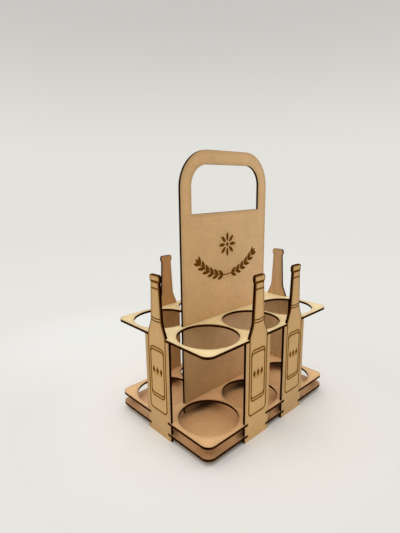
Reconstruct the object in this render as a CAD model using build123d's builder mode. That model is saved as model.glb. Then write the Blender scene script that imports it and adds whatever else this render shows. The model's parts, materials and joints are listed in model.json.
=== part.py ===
from build123d import *
import os

# Caddy for six bottles, made of flat panels that are cut from one sheet and slotted together.
# The origin is on the surface that the caddy stands on, below its middle.
# X runs along the rows of bottles and the centre panel, Y to the back, Z up.

# Sheet, fits and cuts
sheet_thickness = 3.0
fit_clearance = 0.1
engraving_depth = 0.3
engraved_line = 1.4
cut_overrun = 1.0

# Bays for the bottles
bay_columns = 3
bay_rows = 2
bay_diameter = 69.5
bay_web = 3.0
bay_row_gap = 11.0

# Plates
plate_rim = 5.0
plate_corner_radius = 10.0
floor_lift = 6.0
ring_gap = 11.0
bay_height = 95.5

# Centre panel with the handle
panel_width = 149.6
panel_height = 320.5
panel_corner_radius = 42.0
handle_bar = 16.0
window_height = 54.7
window_corner_radius = 24.5
tab_count = 2
tab_width = 24.0
tab_pitch = 96.0

# Side panels, widths across and heights up
side_panel_pitch = 69.0
body_width = 42.0
bottle_width = 31.2
bottle_lift = 6.8
bottle_foot_radius = 5.5
knee_rise = 1.0
knee_radius = 4.5
shoulder_height = 15.0
shoulder_radius = 25.0
neck_base_width = 19.0
neck_height = 44.5
neck_top_width = 14.2
neck_top_radius = 3.0
cap_width = 17.4
cap_height = 9.0
cap_flare_height = 3.0
cap_flare_radius = 1.5
cap_corner_radius = 3.0

# Engraving on the side panels
cap_band_drop = 7.6
cap_band_height = 2.6
neck_line_drop = 15.0
neck_ring_rise = 16.4
neck_ring_pitch = 3.2
neck_ring_radius = 32.0
neck_ring_half_angle = 25.0
label_width = 23.0
label_height = 60.0
label_lift = 24.4
label_band_height = 3.4
label_corner_radius = 4.5
lozenge_count = 3
lozenge_width = 4.6
lozenge_height = 10.0
lozenge_pitch = 6.6
lozenge_rise = 2.2

# Engraving on the centre panel: a leafy swag below a rosette
leaf_length = 11.5
leaf_width = 4.4
swag_radius = 66.0
swag_drop = 78.0
swag_half_angle = 44.0
swag_gap_angle = 6.0
stem_overlap_angle = 1.0
swag_leaf_pairs = 6
swag_leaf_lean = 30.0
rosette_drop = 40.0
rosette_petals = 8
petal_start_radius = 3.6
rosette_eye_radius = 2.4

# Sizes that follow from the ones above
bay_pitch_x = bay_diameter + bay_web
bay_pitch_y = bay_diameter + bay_row_gap
plate_length = (bay_columns - 1) * bay_pitch_x + bay_diameter + 2 * plate_rim
plate_width = (bay_rows - 1) * bay_pitch_y + bay_diameter + 2 * plate_rim
slot_height = sheet_thickness + fit_clearance
slot_width = sheet_thickness + 2 * fit_clearance
floor_top = floor_lift + sheet_thickness
ring_underside = floor_top + ring_gap
ring_top = ring_underside + sheet_thickness
top_underside = ring_top + bay_height
shoulder_foot = top_underside + slot_height
neck_base = shoulder_foot + shoulder_height
neck_top = neck_base + neck_height
bottle_top = neck_top + cap_height
window_top = panel_height - handle_bar
window_bottom = window_top - window_height
window_width = panel_width - 2 * handle_bar

from_below = (Align.CENTER, Align.MIN)

# Where the outer face of each side panel stands, with the sketch's Y pointing up
side_panel_places = {
    "left_end": Plane(origin=(-plate_length / 2, 0, 0), x_dir=(0, -1, 0), z_dir=(-1, 0, 0)),
    "right_end": Plane(origin=(plate_length / 2, 0, 0), x_dir=(0, 1, 0), z_dir=(1, 0, 0)),
    "front_left": Plane(origin=(-side_panel_pitch / 2, -plate_width / 2, 0), x_dir=(1, 0, 0), z_dir=(0, -1, 0)),
    "front_right": Plane(origin=(side_panel_pitch / 2, -plate_width / 2, 0), x_dir=(1, 0, 0), z_dir=(0, -1, 0)),
    "back_left": Plane(origin=(-side_panel_pitch / 2, plate_width / 2, 0), x_dir=(-1, 0, 0), z_dir=(0, 1, 0)),
    "back_right": Plane(origin=(side_panel_pitch / 2, plate_width / 2, 0), x_dir=(-1, 0, 0), z_dir=(0, 1, 0)),
}


# Outline that the three plates share: rounded corners and a notch for each side panel
def plate_outline():
    notch_depth = sheet_thickness + fit_clearance
    with BuildSketch() as outline:
        RectangleRounded(plate_length, plate_width, plate_corner_radius)
        for place in side_panel_places.values():
            turn = 90 if place.z_dir.X else 0
            with Locations(Location((place.origin.X, place.origin.Y, 0), (0, 0, turn))):
                Rectangle(bottle_width + 2 * fit_clearance, 2 * notch_depth, mode=Mode.SUBTRACT)
    return outline.sketch


# Plate with six bottle holes and the long slot for the centre panel
def holed_plate(name, underside):
    with BuildPart() as plate:
        with BuildSketch(Plane.XY.offset(underside)):
            add(plate_outline())
            with GridLocations(bay_pitch_x, bay_pitch_y, bay_columns, bay_rows):
                Circle(bay_diameter / 2, mode=Mode.SUBTRACT)
            Rectangle(panel_width + 2 * fit_clearance, slot_width, mode=Mode.SUBTRACT)
        extrude(amount=sheet_thickness)
    plate.part.label = name
    export_step(plate.part, f"parts/{name}.step")


# Closed line of the engraving's width
def engraved_frame(width, height, radius):
    half_line = engraved_line / 2
    RectangleRounded(width + engraved_line, height + engraved_line, radius + half_line)
    RectangleRounded(width - engraved_line, height - engraved_line, radius - half_line, mode=Mode.SUBTRACT)


# Side panel: a plain body with an engraved bottle, whose shoulders, neck and cap stand free above the top plate
def bottle_panel(name, outer_face):
    with BuildPart() as panel:
        with BuildSketch(outer_face):
            Rectangle(body_width, top_underside, align=from_below)
            for underside in (floor_lift, ring_underside):
                with Locations((0, underside)):
                    Rectangle(body_width + 2 * cut_overrun, slot_height, align=from_below, mode=Mode.SUBTRACT)
                    Rectangle(bottle_width, slot_height, align=from_below)
            add(bottle.sketch)
        extrude(amount=-sheet_thickness)

        with BuildSketch(outer_face.offset(cut_overrun)):
            add(bottle.sketch)
            offset(amount=-engraved_line, mode=Mode.SUBTRACT)
            label_middle = ring_top + label_lift + label_height / 2
            with Locations((0, label_middle)):
                engraved_frame(label_width, label_height, label_corner_radius)
                engraved_frame(label_width, label_height - 2 * label_band_height, label_corner_radius)
            with Locations((0, bottle_top - cap_band_drop)):
                Rectangle(cap_width, cap_band_height)
            with Locations((0, bottle_top - neck_line_drop)):
                Rectangle(cap_width, engraved_line)
            for ring_rise in (neck_ring_rise, neck_ring_rise + neck_ring_pitch):
                with BuildLine():
                    CenterArc(
                        (0, shoulder_foot + ring_rise + neck_ring_radius),
                        neck_ring_radius,
                        -90 - neck_ring_half_angle,
                        2 * neck_ring_half_angle,
                    )
                trace(line_width=engraved_line)
            with Locations((0, label_middle + lozenge_rise)):
                with GridLocations(lozenge_pitch, 0, lozenge_count, 1):
                    Polygon(
                        (0, lozenge_height / 2),
                        (-lozenge_width / 2, 0),
                        (0, -lozenge_height / 2),
                        (lozenge_width / 2, 0),
                    )
        extrude(amount=-cut_overrun - engraving_depth, mode=Mode.SUBTRACT)
    panel.part.label = name
    export_step(panel.part, f"parts/{name}.step")


os.makedirs("parts", exist_ok=True)

# Floor plate, with a mortise for each tab of the centre panel
with BuildPart() as floor_plate:
    with BuildSketch(Plane.XY.offset(floor_lift)):
        add(plate_outline())
        with GridLocations(tab_pitch, 0, tab_count, 1):
            Rectangle(tab_width + 2 * fit_clearance, slot_width, mode=Mode.SUBTRACT)
    extrude(amount=sheet_thickness)
floor_plate.part.label = "floor_plate"
export_step(floor_plate.part, "parts/floor_plate.step")

holed_plate("ring_plate", ring_underside)
holed_plate("top_plate", top_underside)

# Bottle's outline, engraved on the body of a side panel and cut out above the top plate
with BuildSketch() as bottle:
    with BuildLine():
        FilletPolyline(
            (0, ring_top + bottle_lift),
            (bottle_width / 2, ring_top + bottle_lift),
            (bottle_width / 2, shoulder_foot + knee_rise),
            (neck_base_width / 2, neck_base),
            (neck_top_width / 2, neck_top),
            (cap_width / 2, neck_top + cap_flare_height),
            (cap_width / 2, bottle_top),
            (0, bottle_top),
            radius=(
                bottle_foot_radius,
                knee_radius,
                shoulder_radius,
                neck_top_radius,
                cap_flare_radius,
                cap_corner_radius,
            ),
        )
        mirror(about=Plane.YZ)
    make_face()

for panel_name, panel_face in side_panel_places.items():
    bottle_panel(panel_name, panel_face)

# Centre panel
panel_face = Plane(origin=(0, -sheet_thickness / 2, 0), x_dir=(1, 0, 0), z_dir=(0, -1, 0))

with BuildSketch() as leaf:
    with BuildLine():
        ThreePointArc((0, 0), (leaf_length / 2, leaf_width / 2), (leaf_length, 0))
        mirror(about=Plane.XZ)
    make_face()

with BuildPart() as centre_panel:
    with BuildSketch(panel_face):
        with BuildLine():
            FilletPolyline(
                (-panel_width / 2, floor_top),
                (-panel_width / 2, panel_height),
                (panel_width / 2, panel_height),
                (panel_width / 2, floor_top),
                radius=panel_corner_radius,
            )
            Line((panel_width / 2, floor_top), (-panel_width / 2, floor_top))
        make_face()
        with BuildLine():
            FilletPolyline(
                (-window_width / 2, window_bottom),
                (-window_width / 2, window_top),
                (window_width / 2, window_top),
                (window_width / 2, window_bottom),
                radius=window_corner_radius,
            )
            Line((window_width / 2, window_bottom), (-window_width / 2, window_bottom))
        make_face(mode=Mode.SUBTRACT)
        with Locations((0, floor_lift)):
            with GridLocations(tab_pitch, 0, tab_count, 1):
                Rectangle(tab_width, sheet_thickness, align=from_below)
    extrude(amount=-sheet_thickness)

    with BuildSketch(panel_face.offset(cut_overrun)):
        swag_centre = (0, window_bottom - swag_drop + swag_radius)
        with Locations(swag_centre):
            first_angle = swag_gap_angle - 90
            leafy_angle = swag_half_angle - swag_gap_angle
            with PolarLocations(swag_radius, swag_leaf_pairs, first_angle, leafy_angle, endpoint=True):
                add(leaf.sketch, rotation=90 - swag_leaf_lean)
                add(leaf.sketch, rotation=90 + swag_leaf_lean)
            with PolarLocations(swag_radius, 1, swag_half_angle - 90):
                add(leaf.sketch, rotation=90)
        mirror(about=Plane.YZ)
        stem_half_angle = swag_half_angle + stem_overlap_angle
        with BuildLine():
            CenterArc(swag_centre, swag_radius, -90 - stem_half_angle, 2 * stem_half_angle)
        trace(line_width=engraved_line)
        with Locations((0, window_bottom - rosette_drop)):
            Circle(rosette_eye_radius)
            with PolarLocations(petal_start_radius, rosette_petals):
                add(leaf.sketch)
    extrude(amount=-cut_overrun - engraving_depth, mode=Mode.SUBTRACT)
centre_panel.part.label = "centre_panel"
export_step(centre_panel.part, "parts/centre_panel.step")
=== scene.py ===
"""Finishes the bottle caddy's fibreboard panels and sets its studio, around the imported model."""

import json
import math

import bmesh
import bpy
from bpy.props import FloatProperty, FloatVectorProperty, PointerProperty
from mathutils import Matrix, Vector


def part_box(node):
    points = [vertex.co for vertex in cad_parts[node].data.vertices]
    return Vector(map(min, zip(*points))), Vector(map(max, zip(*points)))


bl_info = {
    "name": "Bottle Caddy",
    "version": (1, 0, 0),
    "blender": (4, 5, 0),
    "location": "3D View > Sidebar > Bottle Caddy",
    "description": "Finishes a slotted fibreboard bottle caddy and sets its studio",
    "category": "Object",
}

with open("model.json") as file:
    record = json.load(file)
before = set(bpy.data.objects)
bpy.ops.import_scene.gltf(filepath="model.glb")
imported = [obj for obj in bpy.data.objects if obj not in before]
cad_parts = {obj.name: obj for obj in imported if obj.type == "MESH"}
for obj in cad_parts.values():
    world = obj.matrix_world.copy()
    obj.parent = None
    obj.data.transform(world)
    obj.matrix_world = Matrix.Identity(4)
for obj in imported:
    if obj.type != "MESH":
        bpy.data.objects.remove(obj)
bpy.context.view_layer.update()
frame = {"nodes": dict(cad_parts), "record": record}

PLATES = ("floor_plate", "ring_plate", "top_plate")
SIDE_PANELS = ("left_end", "right_end", "front_left", "front_right", "back_left", "back_right")
CENTRE_PANEL = "centre_panel"

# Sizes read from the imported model, whose plates and centre panel have their middles above the origin
TOP_UNDER, TOP_ABOVE = (corner.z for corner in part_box("top_plate"))
RING_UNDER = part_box("ring_plate")[0].z
SHEET = TOP_ABOVE - TOP_UNDER
PLATE_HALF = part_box("top_plate")[1]
PANEL_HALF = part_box(CENTRE_PANEL)[1]
BAYS = [mount for mount in frame["record"]["mounts"] if mount["kind"] == "bore"]
BAY_RADIUS = BAYS[0]["dims"]["r_mm"] / 1000

# The back middle bay and the back right one, which the others mirror
QUARTER_BAYS = [Vector(bay["pos_m"]) for bay in BAYS if bay["pos_m"][0] >= 0 and bay["pos_m"][1] > 0]
BAY_PITCH = max(bay.x for bay in QUARTER_BAYS)


def length(name, default, description):
    """A size in metres."""
    return FloatProperty(
        name=name, description=description, default=default, min=0, unit="LENGTH", precision=5
    )


def colour(name, default, description):
    """A colour in linear light."""
    return FloatVectorProperty(
        name=name, description=description, default=default, size=3, min=0, max=1, subtype="COLOR"
    )


def share(name, default, description):
    """A number without a unit."""
    return FloatProperty(name=name, description=description, default=default, min=0)


class CaddyOutline(bpy.types.PropertyGroup):
    """Sizes of the cut outlines and engraved lines that scorch and smoke follow."""

    plate_corner: length("Plate corner", 0.010, "Radius of the plates' corners")
    panel_corner: length("Panel corner", 0.042, "Radius of the centre panel's upper corners")
    handle_bar: length("Handle bar", 0.016, "Width of the bar around the handle window")
    window_height: length("Window height", 0.0547, "Height of the handle window")
    window_corner: length("Window corner", 0.0245, "Radius of the window's upper corners")
    line: length("Engraved line", 0.0014, "Width of an engraved line")
    clearance: length("Clearance", 0.0001, "Gap between a panel and its slot")
    bottle_half_width: length("Bottle half width", 0.0156, "Half the width of an engraved bottle's body")
    bottle_foot: length("Bottle foot", 0.0298, "Height where an engraved bottle starts")
    bottle_corner: length("Bottle corner", 0.0055, "Radius of an engraved bottle's lower corners")
    label_half_width: length("Label half width", 0.0115, "Half the width of a bottle's label")
    label_half_height: length("Label half height", 0.030, "Half the height of a bottle's label")
    label_middle: length("Label middle", 0.0774, "Height of the middle of a bottle's label")
    label_corner: length("Label corner", 0.0045, "Radius of a label's corners")
    label_band: length("Label band", 0.0034, "Height of the band at either end of a label")
    ornament_half_width: length("Ornament half width", 0.0066, "Half the width of a label's ornament")
    ornament_half_height: length("Ornament half height", 0.0038, "Half the height of a label's ornament")
    cap_band_drop: length("Cap band drop", 0.0076, "How far the cap's band lies below the bottle's top")
    neck_line_drop: length("Neck line drop", 0.0150, "How far the neck's line lies below the bottle's top")
    swag_radius: length("Swag radius", 0.066, "Radius of the engraved swag")
    swag_drop: length("Swag drop", 0.078, "How far the swag hangs below the handle window")
    rosette_drop: length("Rosette drop", 0.040, "How far the rosette lies below the handle window")
    rosette_radius: length("Rosette radius", 0.0151, "Radius of the engraved rosette")


class CaddyFinish(bpy.types.PropertyGroup):
    """Colours and sizes of the fibreboard's finish, with some painted light and shade."""

    board: colour("Board", (0.670, 0.400, 0.155), "Raw fibreboard on the good side")
    pale_fibre: colour("Pale fibre", (0.800, 0.530, 0.240), "Lightest fibres in the board")
    dark_fibre: colour("Dark fibre", (0.380, 0.200, 0.065), "Darkest fibres in the board")
    # Partly the top plate's own paler board and partly painted light from above, palest in front as a painted
    # highlight
    lit_top_board_front: colour("Top board", (0.930, 0.750, 0.415), "Top plate in front, paler than the rest")
    lit_top_board_back: colour("Top board, back", (0.800, 0.620, 0.325), "Top plate at the back")
    # Partly painted light: the ring plate is paler than the rest partly to stand for light on its upward face
    ring_board: colour("Ring board", (0.840, 0.518, 0.252), "Ring plate, a little paler than the rest")
    floor_board: colour("Floor board", (0.735, 0.425, 0.198), "Floor plate, a little pinker than the rest")
    # Partly its own tone and partly painted light: the centre panel grows paler from left to right
    panel_board: colour("Panel board", (0.670, 0.410, 0.180), "Centre panel at the left")
    panel_board_right: colour("Panel board, right", (0.735, 0.465, 0.222), "Centre panel at the right")
    golden: colour("Golden board", (0.665, 0.392, 0.125), "Board within an engraved bottle")
    halo: colour("Halo", (0.490, 0.240, 0.022), "Golden smoke beside an engraved line")
    stained: colour("Stained side", (0.580, 0.345, 0.160), "Back of the sheet, stained by smoke")
    # Painted shade: the back's stain made duller below the top plate, inside the caddy
    stained_in_shade: colour("Stained side, low", (0.500, 0.325, 0.155), "The same, duller, below the top plate")
    # Painted shade, not smoke: the dark colour laid where little light reaches between the two lower plates
    painted_gap_shade: colour("Painted gap shade", (0.080, 0.045, 0.022), "Smoke that gathered between the two lower plates")
    scorch: colour("Scorch", (0.150, 0.060, 0.018), "Brown line along a cut edge")
    char: colour("Char", (0.003, 0.001, 0.0005), "Deepest black of a cut edge")
    ember: colour("Burnt fibre", (0.024, 0.006, 0.001), "Burnt brown between the streaks of a cut edge")
    plate_ember: colour("Burnt fibre, plates", (0.085, 0.022, 0.003), "The same on the plates, less burnt")
    engraving: colour("Engraving", (0.210, 0.078, 0.005), "Floor of an engraved line")
    engraving_dark: colour("Engraving, dark", (0.090, 0.028, 0.002), "Darkest spots of an engraved line")
    fibre_size: length("Fibre size", 0.0012, "Length of the fibres that show")
    cloud_size: length("Cloud size", 0.030, "Size of the slow changes of colour")
    streak_size: length("Streak size", 0.0005, "Width of the streaks across a cut edge")
    vein_size: length("Vein size", 0.0014, "Width of the long fibres on the back of the sheet")
    scorch_reach: length("Scorch reach", 0.0007, "How far the brown line runs in from a cut edge")
    smoke_reach: length("Smoke reach", 0.006, "How far the faint smoke runs in from a cut edge")
    engraving_depth: length("Engraving depth", 0.0003, "Depth of the engraved lines")
    halo_reach: length("Halo reach", 0.0026, "How far the golden smoke runs out from an engraved line")
    # How far that painted shade reaches over the floor plate
    painted_gap_shade_reach: length("Soot reach", 0.016, "How far the soot runs out over the floor plate")
    fibre_relief: length("Fibre relief", 0.00003, "Height of the fibres")
    streak_relief: length("Streak relief", 0.00008, "Depth of the streaks in a cut edge")
    roughness: share("Roughness", 0.48, "Roughness of the board")


class CaddyStudio(bpy.types.PropertyGroup):
    """Colours and strengths of the floor, the backdrop and the lights."""

    backdrop_low: colour("Backdrop, low", (0.770, 0.765, 0.715), "Backdrop at the height of the horizon")
    backdrop_high: colour("Backdrop, high", (0.580, 0.562, 0.538), "Backdrop at the top of the picture")
    ceiling: colour("Ceiling", (0.250, 0.245, 0.240), "Darker light from above the picture")
    floor: colour("Floor", (0.745, 0.740, 0.730), "Colour of the floor")
    # Painted light on the floor: paler round the caddy to lift its contact shadows, and a paler pool behind
    # it
    floor_near: colour("Floor, near", (0.835, 0.830, 0.808), "Colour of the floor round the caddy")
    floor_lit: colour("Floor, lit", (0.785, 0.795, 0.790), "Colour of the paler floor behind the caddy")
    floor_radius: length("Floor radius", 4.0, "Radius of the floor")
    floor_fade: length("Floor fade", 0.25, "Radius where the floor starts to melt into the backdrop")
    floor_end: length("Floor end", 1.7, "Radius where the floor has melted into the backdrop")
    key: share("Key light", 2.35, "Strength of the wide light overhead")
    side: share("Side light", 0.08, "Strength of the weak light from the left")


# Range that holds most of a noise's values, a wider one, and its middle
NOISE_RANGE = (0.3, 0.7)
WIDE_NOISE_RANGE = (0.25, 0.75)
NOISE_MIDDLE = 0.5


class Field:
    """A socket whose value varies over a surface, so that sums of such values read as plain maths."""

    def __init__(self, socket):
        self.socket = socket

    def node(self, kind, settings=None, inputs=None, output=0):
        """Adds a node beside this one and gives one of its outputs."""
        return add_node(self.socket.id_data, kind, settings, inputs, output)

    def output(self, name):
        """Another output of the same node."""
        return Field(self.socket.node.outputs[name])

    def maths(self, operation, *others):
        """Result of an operation on this value and others."""
        return self.node("ShaderNodeMath", {"operation": operation}, dict(enumerate((self, *others))))

    def __add__(self, other):
        return self.maths("ADD", other)

    def __sub__(self, other):
        return self.maths("SUBTRACT", other)

    def __mul__(self, other):
        return self.maths("MULTIPLY", other)

    def __rsub__(self, other):
        return self.node("ShaderNodeMath", {"operation": "SUBTRACT"}, {0: other, 1: self})

    def __neg__(self):
        return 0 - self

    def __abs__(self):
        return self.maths("ABSOLUTE")

    __radd__ = __add__
    __rmul__ = __mul__

    def at_least(self, other):
        """The greater of this value and another."""
        return self.maths("MAXIMUM", other)

    def at_most(self, other):
        """The smaller of this value and another."""
        return self.maths("MINIMUM", other)

    def reach(self, other):
        """Length of the step made by this value and another at right angles."""
        return (self * self + other * other).maths("SQRT")

    def ramp(self, start, end, low=0.0, high=1.0):
        """Runs smoothly from low at start to high at end."""
        return self.node(
            "ShaderNodeMapRange",
            {"interpolation_type": "SMOOTHSTEP"},
            {"Value": self, "From Min": start, "From Max": end, "To Min": low, "To Max": high},
        )

    def step(self, softness):
        """Runs from 0 to 1 where this distance passes 0."""
        return self.ramp(-softness, softness)

    def swing(self, amount):
        """Factor that follows this noise, from an amount below 1 to the same amount above it."""
        return self.ramp(*NOISE_RANGE, 1 - amount, 1 + amount)

    def tint(self, low, high):
        """Colour that is low where this value is 0 and high where it is 1."""
        return self.node(
            "ShaderNodeMix",
            {"data_type": "RGBA"},
            {"Factor_Float": self, "A_Color": low, "B_Color": high},
            "Result_Color",
        )


def find_socket(sockets, key):
    """A socket by its number, its identifier or its name."""
    if isinstance(key, int):
        return sockets[key]
    found = [socket for socket in sockets if socket.identifier == key]
    return found[0] if found else sockets[key]


def add_node(tree, kind, settings=None, inputs=None, output=0):
    """Adds a node, sets it up, links or sets its inputs and gives one output as a Field."""
    node = tree.nodes.new(kind)
    for key, value in (settings or {}).items():
        if key == "stops":
            set_stops(node.color_ramp, value)
        else:
            setattr(node, key, value)
    for key, value in (inputs or {}).items():
        socket = find_socket(node.inputs, key)
        if isinstance(value, Field):
            tree.links.new(value.socket, socket)
        elif socket.type == "RGBA":
            socket.default_value = (*value, 1.0)
        else:
            socket.default_value = value
    return Field(find_socket(node.outputs, output)) if node.outputs else None


def set_stops(ramp, stops):
    """Gives a ramp its stops: pairs of a place and a grey value."""
    while len(ramp.elements) > 1:
        ramp.elements.remove(ramp.elements[0])
    for number, (place, value) in enumerate(stops):
        element = ramp.elements[0] if number == 0 else ramp.elements.new(place)
        element.position = place
        element.color = (value, value, value, 1.0)


def new_tree(owner):
    """The emptied node tree of a material or a world."""
    owner.use_nodes = True
    owner.node_tree.nodes.clear()
    return owner.node_tree


def times(pair, factor):
    """Both ends of a range, multiplied by a factor."""
    return tuple(end * factor for end in pair)


def split(vector):
    """The three parts of a vector."""
    parts = vector.node("ShaderNodeSeparateXYZ", inputs={0: vector}, output="X")
    return parts, parts.output("Y"), parts.output("Z")


def scaled(colour_field, factor):
    """Colour made brighter or darker by a factor."""
    return colour_field.node(
        "ShaderNodeVectorMath", {"operation": "SCALE"}, {0: colour_field, "Scale": factor}
    )


def bump(pattern, relief):
    """Normal of a surface that a pattern raises by up to a relief."""
    return pattern.node("ShaderNodeBump", inputs={"Height": pattern * relief, "Distance": 1.0})


def noise(position, size, detail=2.0, roughness=0.5, kind="FBM"):
    """Noise with features of a given size, from 0 to 1 unless it is ridged."""
    return position.node(
        "ShaderNodeTexNoise",
        {"noise_type": kind},
        {"Vector": position, "Scale": 1 / size, "Detail": detail, "Roughness": roughness},
        "Fac",
    )


def rounded_box(x, y, half_x, half_y, radius):
    """Distance from a rectangle with rounded corners, negative inside it."""
    over_x = abs(x) - (half_x - radius)
    over_y = abs(y) - (half_y - radius)
    outside = over_x.at_least(0).reach(over_y.at_least(0))
    return outside + over_x.at_least(over_y).at_most(0) - radius


# Step between the patterns of two sheets, so that no two are alike
SEED_STEP = Vector((1.0, 0.7, 0.4))

# How squarely a surface lies across the sheet's thickness, from a cut edge to a face
FACE_LIE = (0.55, 0.75)

# Depth below the good face where the back begins, as shares of the sheet
BACK_DEPTH = (0.8, 0.95)

# Depths where an engraved line's floor starts and ends, as shares of the line's depth
LINE_FLOOR_START = (0.3, 0.6)
LINE_FLOOR_END = (2, 3)

# Sizes of smudges and specks as shares of the fibres' size, and of grain as a share of the veins'
SMUDGE_SIZE = 4
SPECK_SIZE = 0.6
GRAIN_SIZE = 0.7

# How many times as long as wide the veins, the grain and an edge's streaks are
VEIN_STRETCH = 14
GRAIN_STRETCH = 10
STREAK_STRETCH = 14

# How far each pattern moves the brightness of the board, or its roughness
CLOUD_SWING = 0.04
SMUDGE_SWING = 0.035
SPECK_SWING = 0.07
VEIN_SWING = 0.10
GRAIN_SWING = 0.03
ROUGHNESS_SWING = 0.06

# Ranges of the patterns over which one colour of the board gives way to the next
PALE_FIBRE_RANGE = (0.5, 2.2)
DARK_SPECK_RANGE = (0.60, 0.90)
ENGRAVED_SPECK_RANGE = (0.35, 0.65)
STREAK_RANGE = (0.40, 0.68)

# Least and greatest share of a stain, of the back's stain and of the smoke along a cut edge
STAIN_SHARES = (0.65, 1.0)
BACK_STAIN_SHARES = (0.75, 1.0)
SMOKE_SHARES = (0.5, 1.3)

# Strength of the smoke and of the brown line along a cut edge
SMOKE_STRENGTH = 0.22
SCORCH_STRENGTH = 0.3

# How far the back's stain runs into its duller copy with painted shade below the top plate
STAIN_SHADE_BLEND = 0.001

BURNT_ROUGHNESS = 0.9
BOARD_IOR = 1.5


class Sheet:
    """A new finish for one sheet of fibreboard: its coordinates, its patterns and its shaders."""

    def __init__(self, name, axis, seed, finish):
        """The axis is the one that runs through the sheet's thickness."""
        self.axis = axis
        self.finish = finish
        self.material = bpy.data.materials.new(name)
        position = add_node(new_tree(self.material), "ShaderNodeTexCoord", output="Object")
        self.x, self.y, self.z = split(position)
        normal = dict(zip("xyz", split(position.output("Normal"))))
        self.on_face = abs(normal[axis]).ramp(*FACE_LIE)
        self.shifted = position.node(
            "ShaderNodeVectorMath", {"operation": "ADD"}, {0: position, 1: SEED_STEP * seed}
        )
        self.clouds = noise(self.shifted, finish.cloud_size, detail=3)
        self.smudges = noise(self.shifted, SMUDGE_SIZE * finish.fibre_size)
        self.specks = noise(self.shifted, SPECK_SIZE * finish.fibre_size)
        self.fibres = noise(
            self.shifted, finish.fibre_size, detail=4, roughness=0.6, kind="RIDGED_MULTIFRACTAL"
        )

    def stretched(self, axis, factor):
        """Shifted position with one axis drawn out, for streaks along that axis."""
        scale = Vector((1.0, 1.0, 1.0))
        scale["xyz".index(axis)] = 1 / factor
        return self.shifted.node(
            "ShaderNodeVectorMath", {"operation": "MULTIPLY"}, {0: self.shifted, 1: scale}
        )

    def shade(self, back):
        """Uneven brightness of the board, with long veins where the share of the back is 1."""
        vein_axis = "x" if self.axis == "z" else "z"
        veins = noise(self.stretched(vein_axis, VEIN_STRETCH), self.finish.vein_size)
        grain_axis = "y" if self.axis == "x" else "x"
        grain = noise(self.stretched(grain_axis, GRAIN_STRETCH), GRAIN_SIZE * self.finish.vein_size)
        shade = self.clouds.swing(CLOUD_SWING) * self.smudges.swing(SMUDGE_SWING)
        shade = shade * self.specks.swing(SPECK_SWING)
        shade = shade * (1 + back * veins.ramp(*NOISE_RANGE, -VEIN_SWING, VEIN_SWING))
        return shade * grain.swing(GRAIN_SWING)

    def board(self, tone, back, stains):
        """Colour of the board: fibres and stains on its good face, and its stained back, with painted shade
        on the back below the top plate.
        """
        finish = self.finish
        board = self.fibres.ramp(*PALE_FIBRE_RANGE).tint(tone, finish.pale_fibre)
        board = self.specks.ramp(*DARK_SPECK_RANGE).tint(board, finish.dark_fibre)
        for stain_share, stain in stains:
            uneven = stain_share * (1 - back) * self.smudges.ramp(*WIDE_NOISE_RANGE, *STAIN_SHARES)
            board = uneven.tint(board, stain)
        # Painted shade: the back is duller below the top plate
        below_top = (TOP_UNDER - self.z).ramp(0, STAIN_SHADE_BLEND)
        back_stain_and_shade = below_top.tint(finish.stained, finish.stained_in_shade)
        uneven_back = back * self.clouds.ramp(*WIDE_NOISE_RANGE, *BACK_STAIN_SHARES)
        return scaled(uneven_back.tint(board, back_stain_and_shade), self.shade(back))

    def scorched(self, board, to_edge):
        """Board with faint smoke and a brown line along its cut edges."""
        finish = self.finish
        smoke = SMOKE_STRENGTH * (1 - to_edge.ramp(0, finish.smoke_reach))
        smoke = smoke * self.smudges.ramp(*WIDE_NOISE_RANGE, *SMOKE_SHARES)
        board = smoke.tint(board, finish.scorch)
        wavy_edge = to_edge - (self.smudges - NOISE_MIDDLE) * finish.scorch_reach
        line = 1 - wavy_edge.ramp(0, finish.scorch_reach)
        return (SCORCH_STRENGTH * line).tint(board, finish.scorch)

    def board_shader(self, board):
        """Shader of the clean board."""
        rough = self.finish.roughness + ROUGHNESS_SWING * (self.specks - NOISE_MIDDLE)
        relief = bump(self.fibres, self.finish.fibre_relief)
        return board.node(
            "ShaderNodeBsdfPrincipled",
            inputs={"Base Color": board, "Roughness": rough, "Normal": relief, "IOR": BOARD_IOR},
        )

    def burnt_shader(self):
        """Shader of the streaked, charred cut edges and of the engraved lines' brown floors."""
        finish = self.finish
        streaks = noise(self.stretched(self.axis, STREAK_STRETCH), finish.streak_size, detail=3)
        ember = finish.plate_ember if self.axis == "z" else finish.ember
        edge = streaks.ramp(*STREAK_RANGE).tint(finish.char, ember)
        engraved = self.specks.ramp(*ENGRAVED_SPECK_RANGE).tint(finish.engraving, finish.engraving_dark)
        burnt = self.on_face.tint(edge, engraved)
        relief = bump(streaks, finish.streak_relief)
        return burnt.node(
            "ShaderNodeBsdfPrincipled",
            inputs={
                "Base Color": burnt,
                "Roughness": BURNT_ROUGHNESS,
                "Normal": relief,
                "Specular IOR Level": 0.0,
            },
        )

    def build(self, tone, depth, to_edge, stains=(), painted_gap_shade=None):
        """The finished material.

        Depth is how far a point lies below the good face, and to_edge how far from the nearest cut.
        Stains are pairs of a share and a colour for the good face, and painted_gap_shade is the share of
        painted shade where the plates and panels keep light out.
        """
        line_depth = self.finish.engraving_depth
        in_line = depth.ramp(*times(LINE_FLOOR_START, line_depth))
        in_line = in_line - depth.ramp(*times(LINE_FLOOR_END, line_depth))
        clean = self.on_face * (1 - in_line)
        board = self.board(tone, back_share(depth), stains)
        # Painted shade where the plates and panels keep the light out
        if painted_gap_shade is not None:
            board = painted_gap_shade.tint(board, self.finish.painted_gap_shade)
        board_shader = self.board_shader(self.scorched(board, to_edge))
        shader = clean.node("ShaderNodeMixShader", inputs={0: clean, 1: self.burnt_shader(), 2: board_shader})
        shader.node("ShaderNodeOutputMaterial", inputs={"Surface": shader})
        return self.material


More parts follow.
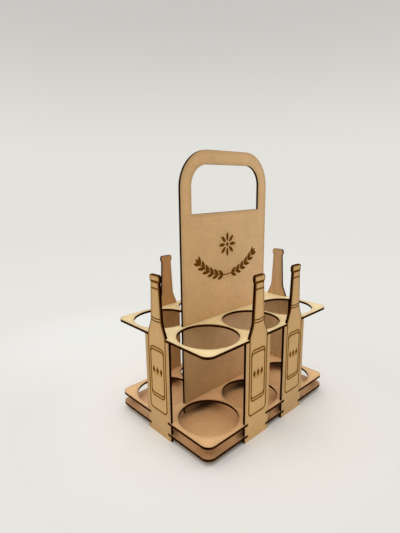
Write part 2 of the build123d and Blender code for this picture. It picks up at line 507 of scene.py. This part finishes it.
def back_share(depth):
    """Share that is 1 on the back of a sheet and 0 on its good face."""
    return depth.ramp(*times(BACK_DEPTH, SHEET))


def assign(node, material):
    """Gives a CAD node its finish."""
    mesh = frame["nodes"][node].data
    mesh.materials.clear()
    mesh.materials.append(material)


# Share of painted shade between the two lower plates, where little light reaches: along the floor plate's rim
# and on a side panel's back
RIM_GAP_SHADE = 0.24
SIDE_PANEL_GAP_SHADE = 0.75

# Share of painted shade at the webs between the bays and away from them, and how far from a web's middle
WEB_GAP_SHADE = (0.89, 0.42)
WEB_GAP_SHADE_REACH = (0.010, 0.036)

# How far the rim's painted shade runs in, where the ring plate's web starts to shade the floor plate,
# measured from the bay's rim, and where the painted shade beside an upright panel ends, as shares of its
# reach
RIM_GAP_SHADE_REACH = (0.011, 0.016)
WEB_SHADOW = (-0.010, 0.002)
BESIDE_PANEL = (0.2, 0.95)

# How far below the ring plate's underside the upright panels' painted shade starts
BETWEEN_PLATES_START = (-0.0005, 0.0015)


def to_bay_middle(sheet):
    """Distance from the middle of the nearest bay."""
    middle_bay, right_bay = ((abs(sheet.x) - bay.x).reach(abs(sheet.y) - bay.y) for bay in QUARTER_BAYS)
    return middle_bay.at_most(right_bay)


def plate_material(name, seed, finish, outline):
    """Finish of a plate, with scorch round its outline, bays and slot."""
    sheet = Sheet(name, "z", seed, finish)
    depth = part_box(name)[1].z - sheet.z
    to_edge = -rounded_box(sheet.x, sheet.y, PLATE_HALF.x, PLATE_HALF.y, outline.plate_corner)
    if name == "floor_plate":
        return sheet.build(finish.floor_board, depth, to_edge, painted_gap_shade=floor_painted_gap_shade(sheet, to_edge))
    to_edge = to_edge.at_most(to_bay_middle(sheet) - BAY_RADIUS)
    slot_x = PANEL_HALF.x + outline.clearance
    slot_y = SHEET / 2 + outline.clearance
    to_edge = to_edge.at_most(rounded_box(sheet.x, sheet.y, slot_x, slot_y, 0))
    tone = finish.ring_board
    # Painted highlight: the top plate runs from palest in front to the back, partly painted light from above
    if name == "top_plate":
        tone = sheet.y.ramp(-PLATE_HALF.y, PLATE_HALF.y).tint(finish.lit_top_board_front, finish.lit_top_board_back)
    return sheet.build(tone, depth, to_edge)


def floor_painted_gap_shade(sheet, to_edge):
    """Share of painted shade on the floor plate where the ring plate and panels shade it: along its rim,
    beside the upright panels and below the webs.
    """
    to_panel = rounded_box(sheet.x, sheet.y, PANEL_HALF.x, SHEET / 2, 0)
    for name in ("front_right", "right_end"):
        corner, far_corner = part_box(name)
        middle, half = (corner + far_corner) / 2, (far_corner - corner) / 2
        across, along = abs(sheet.x) - middle.x, abs(sheet.y) - abs(middle.y)
        to_panel = to_panel.at_most(rounded_box(across, along, half.x, half.y, 0))
    beside_panel = 1 - to_panel.ramp(*times(BESIDE_PANEL, sheet.finish.painted_gap_shade_reach))
    under_web = to_bay_middle(sheet).ramp(BAY_RADIUS + WEB_SHADOW[0], BAY_RADIUS + WEB_SHADOW[1])
    rim = RIM_GAP_SHADE * (1 - to_edge.ramp(*RIM_GAP_SHADE_REACH))
    return (web_share(sheet) * under_web * beside_panel).at_least(rim)


def web_share(sheet):
    """Share that is great at the webs between the bays and small beside the bays' middles."""
    return abs(abs(sheet.x) - BAY_PITCH / 2).ramp(*WEB_GAP_SHADE_REACH, *WEB_GAP_SHADE)


def between_plates(sheet):
    """Share that is 1 on an upright panel below the ring plate and 0 above."""
    return (RING_UNDER - sheet.z).ramp(*BETWEEN_PLATES_START)


# Brightness of the side panels that differ from the rest, partly their own tone and partly painted light and
# shade, where more than 1 only lightens the foot
PANEL_SHADES = {"left_end": 0.86, "front_left": 1.08, "front_right": 0.90}

# Painted shade at a side panel's foot: its brightness there, and the height up to which it grows
PAINTED_FOOT_SHADE = 0.93
PAINTED_FOOT_SHADE_HEIGHT = 0.05

# Strength of the stains on a side panel's good face
LINE_HALO = 0.85
ORNAMENT_HALO = 0.8
GOLDEN_STRENGTH = 0.5
CONTOUR_STRENGTH = 0.9

# Where the contour line along the cut ends, as shares of an engraved line's width
CONTOUR_REACH = (0.5, 0.9)

# Softness in metres of the border of the golden board, the ornament's halo, the contour and the shoulder
GOLDEN_SOFTNESS = 0.0005
ORNAMENT_SOFTNESS = 0.001
CONTOUR_SOFTNESS = 0.002
SHOULDER_SOFTNESS = 0.0001

SILHOUETTE_CUTS = 30


def silhouette(node, across):
    """Middle and greatest half width of an upright panel, and its half widths from the top plate up.

    The half widths are shares of the greatest one, each with its place between the top plate and the top.
    """
    corner, far_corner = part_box(node)
    middle = (corner[across] + far_corner[across]) / 2
    half = (far_corner[across] - corner[across]) / 2
    stops = []
    for number in range(SILHOUETTE_CUTS):
        place = (number + 0.5) / SILHOUETTE_CUTS
        height = TOP_UNDER + place * (far_corner.z - TOP_UNDER)
        mesh = bmesh.new()
        mesh.from_mesh(frame["nodes"][node].data)
        everything = mesh.verts[:] + mesh.edges[:] + mesh.faces[:]
        cut = bmesh.ops.bisect_plane(mesh, geom=everything, plane_co=(0, 0, height), plane_no=(0, 0, 1))
        points = [item.co for item in cut["geom_cut"] if isinstance(item, bmesh.types.BMVert)]
        stops.append((place, max(abs(point[across] - middle) for point in points) / half))
        mesh.free()
    return middle, half, stops


def engraved_bottle(across, z, top, outline):
    """Distances from an engraved bottle, from the nearest of its lines and from its label's ornament."""
    half_height = (top - outline.bottle_foot) / 2
    above_middle = z - outline.bottle_foot - half_height
    bottle = rounded_box(
        across, above_middle, outline.bottle_half_width, half_height, outline.bottle_corner
    )
    to_line = abs(bottle + 0.5 * outline.line)

    above_label = z - outline.label_middle
    for label_half_height in (outline.label_half_height, outline.label_half_height - outline.label_band):
        label = rounded_box(
            across, above_label, outline.label_half_width, label_half_height, outline.label_corner
        )
        to_line = to_line.at_most(abs(label))
    ornament = rounded_box(
        across, above_label, outline.ornament_half_width, outline.ornament_half_height, 0
    )

    below_top = top - z
    for drop in (outline.cap_band_drop, outline.neck_line_drop):
        to_line = to_line.at_most(abs(below_top - drop))
    return bottle, to_line, ornament


def side_panel_material(name, seed, finish, outline):
    """Finish of a bottle-shaped side panel, with scorch along its outline."""
    corner, far_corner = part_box(name)
    top = far_corner.z
    facing_x = far_corner.x - corner.x < far_corner.y - corner.y
    sheet = Sheet(name, "x" if facing_x else "y", seed, finish)
    along, through = (sheet.y, sheet.x) if facing_x else (sheet.x, sheet.y)
    depth = (PLATE_HALF.x if facing_x else PLATE_HALF.y) - abs(through)
    middle, half, stops = silhouette(name, 1 if facing_x else 0)
    across = along - middle

    up = (sheet.z - TOP_UNDER) * (1 / (top - TOP_UNDER))
    width = up.node("ShaderNodeValToRGB", {"stops": stops}, {0: up}) * half
    width = width.at_least((TOP_UNDER - sheet.z).step(SHOULDER_SOFTNESS) * half)
    to_edge = (width - abs(across)).at_most(top - sheet.z)

    bottle, to_line, ornament = engraved_bottle(across, sheet.z, top, outline)
    golden = GOLDEN_STRENGTH * (1 - bottle.step(GOLDEN_SOFTNESS))
    halo = LINE_HALO * (1 - to_line.ramp(0.5 * outline.line, finish.halo_reach))
    halo = halo.at_least(ORNAMENT_HALO * (1 - ornament.step(ORNAMENT_SOFTNESS)))
    contour = CONTOUR_STRENGTH * (1 - to_edge.ramp(*times(CONTOUR_REACH, outline.line)))
    contour = contour * (sheet.z - TOP_UNDER).step(CONTOUR_SOFTNESS)
    stains = [(golden, finish.golden), (halo, finish.halo), (contour, finish.engraving)]

    # Painted shade on a side panel's back below the ring plate
    painted_gap_shade = SIDE_PANEL_GAP_SHADE * between_plates(sheet) * back_share(depth)
    # Partly painted light and shade: each panel's brightness, with painted shade towards its foot
    shade = PANEL_SHADES.get(name, 1.0) * sheet.z.ramp(0, PAINTED_FOOT_SHADE_HEIGHT, PAINTED_FOOT_SHADE, 1.0)
    tone = shade.tint((0, 0, 0), finish.board)
    return sheet.build(tone, depth, to_edge, stains, painted_gap_shade)


# Strength of the golden smoke on the centre panel
PANEL_HALO = 0.3

# How far the smoke runs out from the swag's arc, and round the rosette as shares of its radius
SWAG_HALO_REACH = (0.003, 0.009)
ROSETTE_HALO_REACH = (0.8, 1.3)

# Where the swag's smoke ends, as a share of its radius below the arc's middle, and how softly
SWAG_END = 0.7
SWAG_END_SOFTNESS = 0.005

# Depth below the top of the top plate at which the centre panel's painted shade starts, and how much it
# darkens at its left and right edge
PAINTED_SHADE_START = (0.001, 0.002)
PAINTED_SHADE = (0.27, 0.02)

# Height below which the painted shade is deeper at the left edge and lighter from the middle on, and by how
# much
LOW_PAINTED_SHADE_HEIGHT = (0.035, 0.065)
LOW_PAINTED_SHADE = (0.07, -0.05)

# Painted bounce light from the top plate: how much paler the centre panel is just above the top plate, up to
# which height and from how far left
PAINTED_BOUNCE = 0.09
PAINTED_BOUNCE_HEIGHT = (0.150, 0.190)
PAINTED_BOUNCE_START = (-0.045, -0.010)


def panel_halo(sheet, window_bottom, outline):
    """Share of golden smoke round the engraved swag and rosette."""
    above_middle = sheet.z - (window_bottom - outline.swag_drop + outline.swag_radius)
    to_swag = abs(sheet.x.reach(above_middle) - outline.swag_radius)
    in_swag = 1 - (above_middle + SWAG_END * outline.swag_radius).ramp(0, SWAG_END_SOFTNESS)
    swag_halo = (1 - to_swag.ramp(*SWAG_HALO_REACH)) * in_swag
    to_rosette = sheet.x.reach(sheet.z - (window_bottom - outline.rosette_drop))
    rosette_halo = 1 - to_rosette.ramp(*times(ROSETTE_HALO_REACH, outline.rosette_radius))
    return PANEL_HALO * swag_halo.at_least(rosette_halo)


def panel_shade(sheet):
    """Brightness of the centre panel: painted shade below the top plate's top, and a little painted bounce
    light above it.
    """
    half = PANEL_HALF.x
    below_top = (TOP_ABOVE - sheet.z).ramp(*PAINTED_SHADE_START)
    low = 1 - sheet.z.ramp(*LOW_PAINTED_SHADE_HEIGHT)
    painted_shade = sheet.x.ramp(-half, half, *PAINTED_SHADE) + low * sheet.x.ramp(-half, 0, *LOW_PAINTED_SHADE)
    painted_bounce = (1 - below_top) * (1 - sheet.z.ramp(*PAINTED_BOUNCE_HEIGHT)) * sheet.x.ramp(*PAINTED_BOUNCE_START, 0, PAINTED_BOUNCE)
    return 1 - below_top * painted_shade + painted_bounce


def centre_panel_material(name, seed, finish, outline):
    """Finish of the centre panel, with scorch round its outline and its handle window."""
    sheet = Sheet(name, "y", seed, finish)
    half, top = PANEL_HALF.x, PANEL_HALF.z
    window_top = top - outline.handle_bar
    window_bottom = window_top - outline.window_height
    window = rounded_box(sheet.x, sheet.z, half - outline.handle_bar, window_top, outline.window_corner)
    window = window.at_least(window_bottom - sheet.z)
    to_edge = (-rounded_box(sheet.x, sheet.z, half, top, outline.panel_corner)).at_most(window)
    depth = sheet.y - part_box(name)[0].y
    # Partly painted light: paler towards the right
    tone = sheet.x.ramp(-half, half).tint(finish.panel_board, finish.panel_board_right)
    tone = scaled(tone, panel_shade(sheet))
    halo = panel_halo(sheet, window_bottom, outline)
    # Painted shade between the two lower plates, deepest at the webs
    painted_gap_shade = web_share(sheet) * between_plates(sheet)
    return sheet.build(tone, depth, to_edge, [(halo, finish.halo)], painted_gap_shade)


# Seeds of the first plate, of the first side panel and of the centre panel
PLATE_SEED = 1
SIDE_PANEL_SEED = 11
CENTRE_PANEL_SEED = 31


class CADDY_OT_finish_plates(bpy.types.Operator):
    """Give the floor plate, the ring plate and the top plate their fibreboard"""

    bl_idname = "caddy.finish_plates"
    bl_label = "Finish Plates"

    def execute(self, context):
        finish, outline = context.scene.caddy_finish, context.scene.caddy_outline
        for seed, name in enumerate(PLATES, PLATE_SEED):
            assign(name, plate_material(name, seed, finish, outline))
        return {"FINISHED"}


class CADDY_OT_finish_side_panels(bpy.types.Operator):
    """Give the six bottle-shaped side panels their fibreboard"""

    bl_idname = "caddy.finish_side_panels"
    bl_label = "Finish Side Panels"

    def execute(self, context):
        finish, outline = context.scene.caddy_finish, context.scene.caddy_outline
        for seed, name in enumerate(SIDE_PANELS, SIDE_PANEL_SEED):
            assign(name, side_panel_material(name, seed, finish, outline))
        return {"FINISHED"}


class CADDY_OT_finish_centre_panel(bpy.types.Operator):
    """Give the centre panel its fibreboard"""

    bl_idname = "caddy.finish_centre_panel"
    bl_label = "Finish Centre Panel"

    def execute(self, context):
        finish, outline = context.scene.caddy_finish, context.scene.caddy_outline
        assign(CENTRE_PANEL, centre_panel_material(CENTRE_PANEL, CENTRE_PANEL_SEED, finish, outline))
        return {"FINISHED"}


# Middle of the painted pool of light on the floor behind the caddy, and how far from it and from the origin
# the floor is painted paler
FLOOR_LIT_PLACE = Vector((-0.03, 0.30, 0.0))
FLOOR_LIT_REACH = (0.05, 0.24)
FLOOR_NEAR_REACH = (0.13, 0.26)

FLOOR_SIDES = 96


def floor_material(studio):
    """Pale paper with painted light, paler round and behind the caddy, and clear far from it."""
    material = bpy.data.materials.new("floor_paper")
    position = add_node(new_tree(material), "ShaderNodeTexCoord", output="Object")
    far = position.node("ShaderNodeVectorMath", {"operation": "LENGTH"}, {0: position}, "Value")
    to_lit = position.node(
        "ShaderNodeVectorMath", {"operation": "DISTANCE"}, {0: position, 1: FLOOR_LIT_PLACE}, "Value"
    )
    tone = to_lit.ramp(*FLOOR_LIT_REACH).tint(studio.floor_lit, studio.floor)
    tone = far.ramp(*FLOOR_NEAR_REACH).tint(studio.floor_near, tone)
    paper = tone.node("ShaderNodeBsdfDiffuse", inputs={"Color": tone})
    clear = position.node("ShaderNodeBsdfTransparent")
    fade = far.ramp(studio.floor_fade, studio.floor_end)
    mixed = fade.node("ShaderNodeMixShader", inputs={0: fade, 1: paper, 2: clear})
    mixed.node("ShaderNodeOutputMaterial", inputs={"Surface": mixed})
    return material


def make_floor(studio):
    """Round pale floor that melts into the backdrop far from the caddy."""
    mesh = bmesh.new()
    bmesh.ops.create_circle(mesh, cap_ends=True, segments=FLOOR_SIDES, radius=studio.floor_radius)
    data = bpy.data.meshes.new("floor")
    mesh.to_mesh(data)
    mesh.free()
    data.materials.append(floor_material(studio))
    floor = bpy.data.objects.new("floor", data)
    bpy.context.scene.collection.objects.link(floor)


# Heights over which the backdrop darkens and the ceiling starts, as sines of the angle above the horizon
BACKDROP_SWEEP = (0.03, 0.42)
CEILING_START = (0.38, 0.60)


def make_backdrop(studio):
    """Soft light from all round, paler at the horizon than high up."""
    world = bpy.data.worlds.new("studio")
    direction = add_node(new_tree(world), "ShaderNodeTexCoord", output="Generated")
    up = direction.node("ShaderNodeSeparateXYZ", inputs={0: direction}, output="Z")
    sweep = up.ramp(*BACKDROP_SWEEP).tint(studio.backdrop_low, studio.backdrop_high)
    sweep = up.ramp(*CEILING_START).tint(sweep, studio.ceiling)
    light = sweep.node("ShaderNodeBackground", inputs={"Color": sweep, "Strength": 1.0})
    light.node("ShaderNodeOutputWorld", inputs={"Surface": light})
    bpy.context.scene.world = world


# Direction and width of each light, and the slightly warm colour of both
KEY_DIRECTION = Vector((-0.08, 0.08, 1.0))
KEY_WIDTH = math.radians(95)
SIDE_DIRECTION = Vector((-1.0, -0.55, 0.7))
SIDE_WIDTH = math.radians(90)
LIGHT_COLOUR = (1.0, 0.985, 0.955)


def make_light(name, direction, strength, width):
    """Soft light from far off in a direction, as wide as an angle."""
    data = bpy.data.lights.new(name, "SUN")
    data.energy = strength
    data.angle = width
    data.color = LIGHT_COLOUR
    light = bpy.data.objects.new(name, data)
    light.rotation_mode = "QUATERNION"
    light.rotation_quaternion = direction.to_track_quat("Z", "Y")
    bpy.context.scene.collection.objects.link(light)


# Place, turn and focal length of the camera, as they were fitted to the photograph
CAMERA_PLACE = Vector((-0.34315, -0.31654, 0.28307))
CAMERA_YAW = math.radians(43.239)
CAMERA_PITCH = math.radians(-12.296)
CAMERA_ROLL = math.radians(-0.63)
FOCAL_PIXELS = 378.94
PICTURE_HEIGHT = 533


def make_camera():
    """Camera at the place that was worked out from the photograph."""
    data = bpy.data.cameras.new("camera")
    data.lens = FOCAL_PIXELS / PICTURE_HEIGHT * data.sensor_width
    camera = bpy.data.objects.new("camera", data)
    forward = Vector((
        math.sin(CAMERA_YAW) * math.cos(CAMERA_PITCH),
        math.cos(CAMERA_YAW) * math.cos(CAMERA_PITCH),
        math.sin(CAMERA_PITCH),
    ))
    right = forward.cross(Vector((0, 0, 1))).normalized()
    up = right.cross(forward)
    turned_right = math.cos(CAMERA_ROLL) * right + math.sin(CAMERA_ROLL) * up
    turned_up = math.cos(CAMERA_ROLL) * up - math.sin(CAMERA_ROLL) * right
    turn = Matrix((turned_right, turned_up, -forward)).transposed()
    camera.matrix_world = Matrix.Translation(CAMERA_PLACE) @ turn.to_4x4()
    bpy.context.scene.collection.objects.link(camera)
    bpy.context.scene.camera = camera


class CADDY_OT_set_stage(bpy.types.Operator):
    """Set the floor, the backdrop, the lights and the camera"""

    bl_idname = "caddy.set_stage"
    bl_label = "Set Stage"

    def execute(self, context):
        studio = context.scene.caddy_studio
        context.scene.view_settings.view_transform = "Standard"
        make_floor(studio)
        make_backdrop(studio)
        make_light("key", KEY_DIRECTION, studio.key, KEY_WIDTH)
        make_light("side", SIDE_DIRECTION, studio.side, SIDE_WIDTH)
        make_camera()
        return {"FINISHED"}


class CADDY_PT_sidebar(bpy.types.Panel):
    """Lists what finishes the caddy"""

    bl_label = "Bottle Caddy"
    bl_idname = "CADDY_PT_sidebar"
    bl_space_type = "VIEW_3D"
    bl_region_type = "UI"
    bl_category = "Bottle Caddy"

    def draw(self, context):
        for operator in OPERATORS:
            self.layout.operator(operator.bl_idname)
        for group_name in GROUPS:
            group = getattr(context.scene, group_name)
            box = self.layout.box()
            for name in group.__annotations__:
                box.prop(group, name)


GROUPS = {"caddy_outline": CaddyOutline, "caddy_finish": CaddyFinish, "caddy_studio": CaddyStudio}
OPERATORS = (
    CADDY_OT_finish_plates,
    CADDY_OT_finish_side_panels,
    CADDY_OT_finish_centre_panel,
    CADDY_OT_set_stage,
)


def register():
    for item in (*GROUPS.values(), *OPERATORS, CADDY_PT_sidebar):
        bpy.utils.register_class(item)
    for name, group in GROUPS.items():
        setattr(bpy.types.Scene, name, PointerProperty(type=group))


def unregister():
    for name in GROUPS:
        delattr(bpy.types.Scene, name)
    for item in (CADDY_PT_sidebar, *reversed(OPERATORS), *reversed(GROUPS.values())):
        bpy.utils.unregister_class(item)


def main():
    register()
    bpy.ops.caddy.finish_plates()
    bpy.ops.caddy.finish_side_panels()
    bpy.ops.caddy.finish_centre_panel()
    bpy.ops.caddy.set_stage()


if __name__ == "__main__":
    main()
